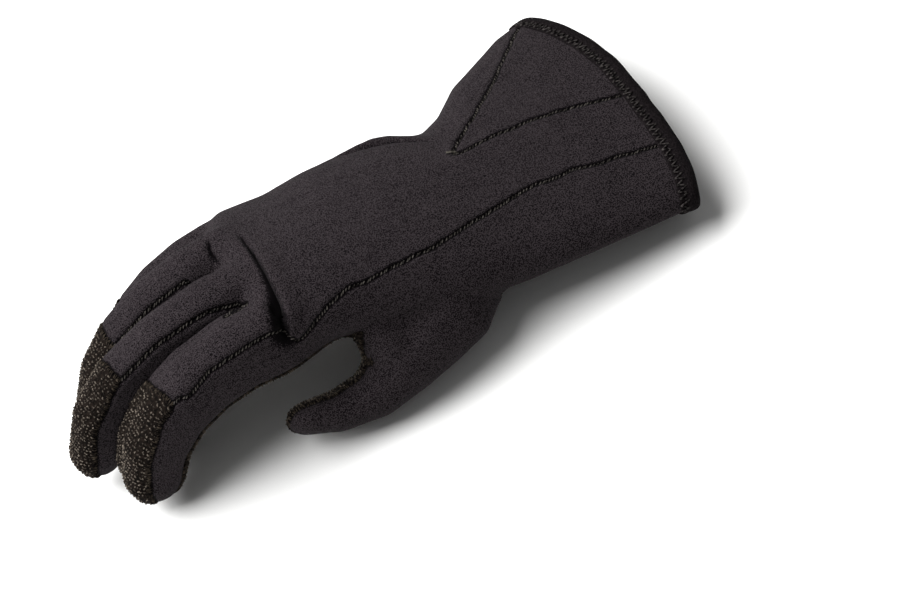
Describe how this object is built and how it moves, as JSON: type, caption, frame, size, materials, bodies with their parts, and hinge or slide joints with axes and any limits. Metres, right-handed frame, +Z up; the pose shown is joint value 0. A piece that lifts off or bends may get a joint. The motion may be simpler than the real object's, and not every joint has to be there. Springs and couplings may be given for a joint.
{
  "type": "diving glove",
  "caption": "Empty right-hand diving glove in thick neoprene with knitted palm and fingertip caps, curved fingers and a flared, hemmed cuff.",
  "frame": {"origin": "middle of the bounding box, on the surface that the glove lies on", "axes": "+X from the fingertips to the cuff, +Y to the little finger, +Z up, out of the back of the hand"},
  "size_m": [0.3032, 0.156, 0.0805],
  "materials": {
    "neoprene": "black jersey-faced neoprene foam",
    "knit": "coarse knitted grip cloth, black with grey-tan flecks",
    "hem": "folded and zig-zag stitched edge"
  },
  "bodies": {
    "root": {"back_panel": "neoprene", "thumb_panel": "neoprene", "cuff_palm_panel": "neoprene", "cuff_gusset": "neoprene", "wall_index_middle": "neoprene", "wall_middle_ring": "neoprene", "wall_ring_little": "neoprene", "palm_panel": "knit", "cap_index": "knit", "cap_middle": "knit", "cap_ring": "knit", "cap_little": "knit", "cuff_hem": "hem"}
  },
  "joints": []
}
